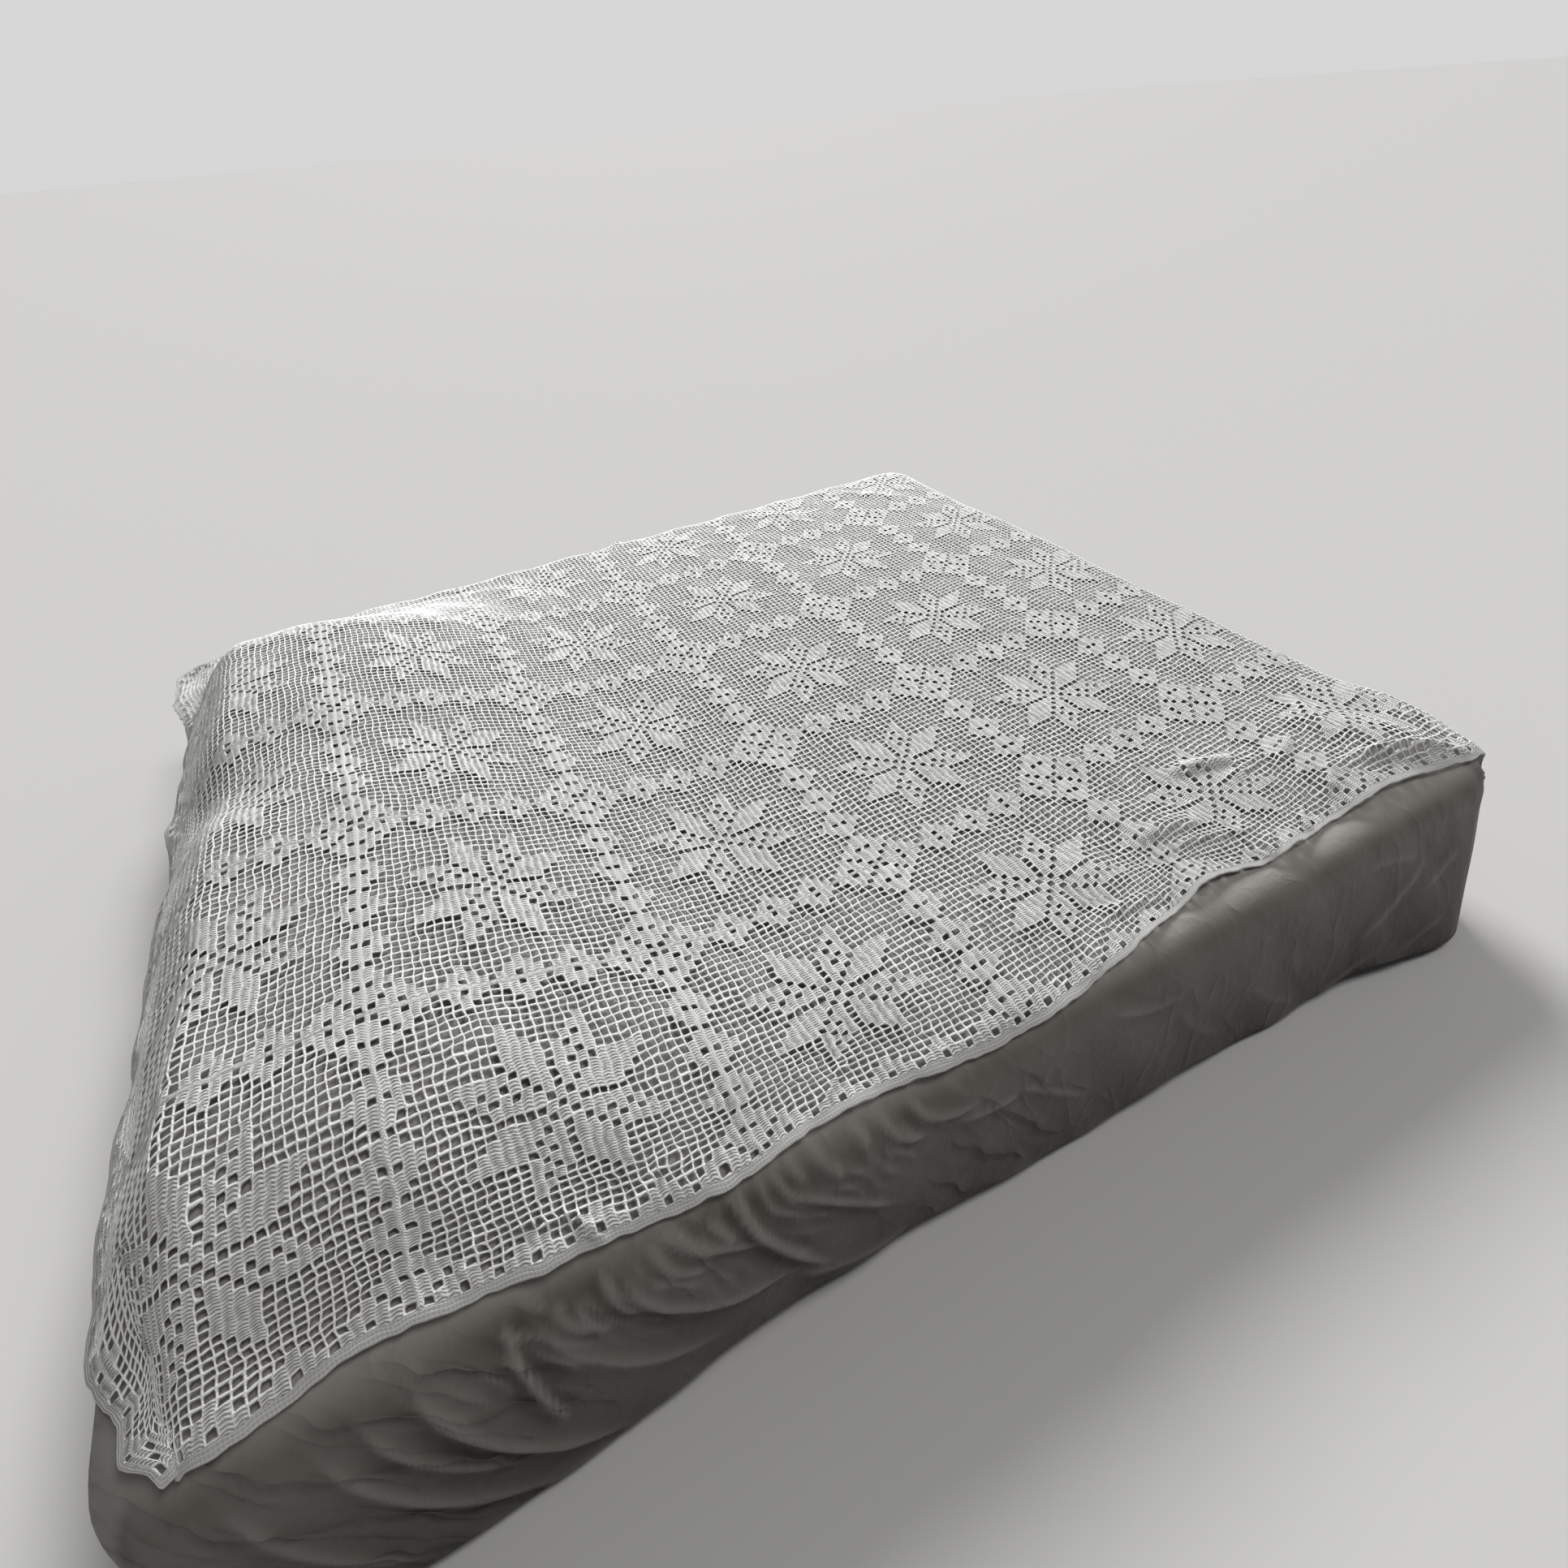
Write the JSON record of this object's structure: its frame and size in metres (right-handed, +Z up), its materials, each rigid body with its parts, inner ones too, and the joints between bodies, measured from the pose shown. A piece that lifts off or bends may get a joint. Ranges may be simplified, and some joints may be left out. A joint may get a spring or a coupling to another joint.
{
  "type": "crochet bedspread on a mattress",
  "caption": "Filet crochet bedspread of flower squares with a plain edging, laid over a mattress and pillows that wear a plain sheet reaching almost to the floor.",
  "frame": {"origin": "centre of the mattress's flat underside, on the floor", "axes": "+X from the head end with the pillows to the foot end, +Y across the bed, +Z up"},
  "size_m": [2.2277, 1.8864, 0.4741],
  "materials": {
    "mattress_ticking": "matt woven cover",
    "pillow_case": "matt woven cotton",
    "sheet_cotton": "matt woven cotton",
    "crochet_cotton": "matt crocheted cotton yarn"
  },
  "bodies": {
    "root": {"mattress": "mattress_ticking", "pillow_near": "pillow_case", "pillow_far": "pillow_case", "bed_sheet": "sheet_cotton", "crochet_bedspread": "crochet_cotton"}
  },
  "joints": []
}
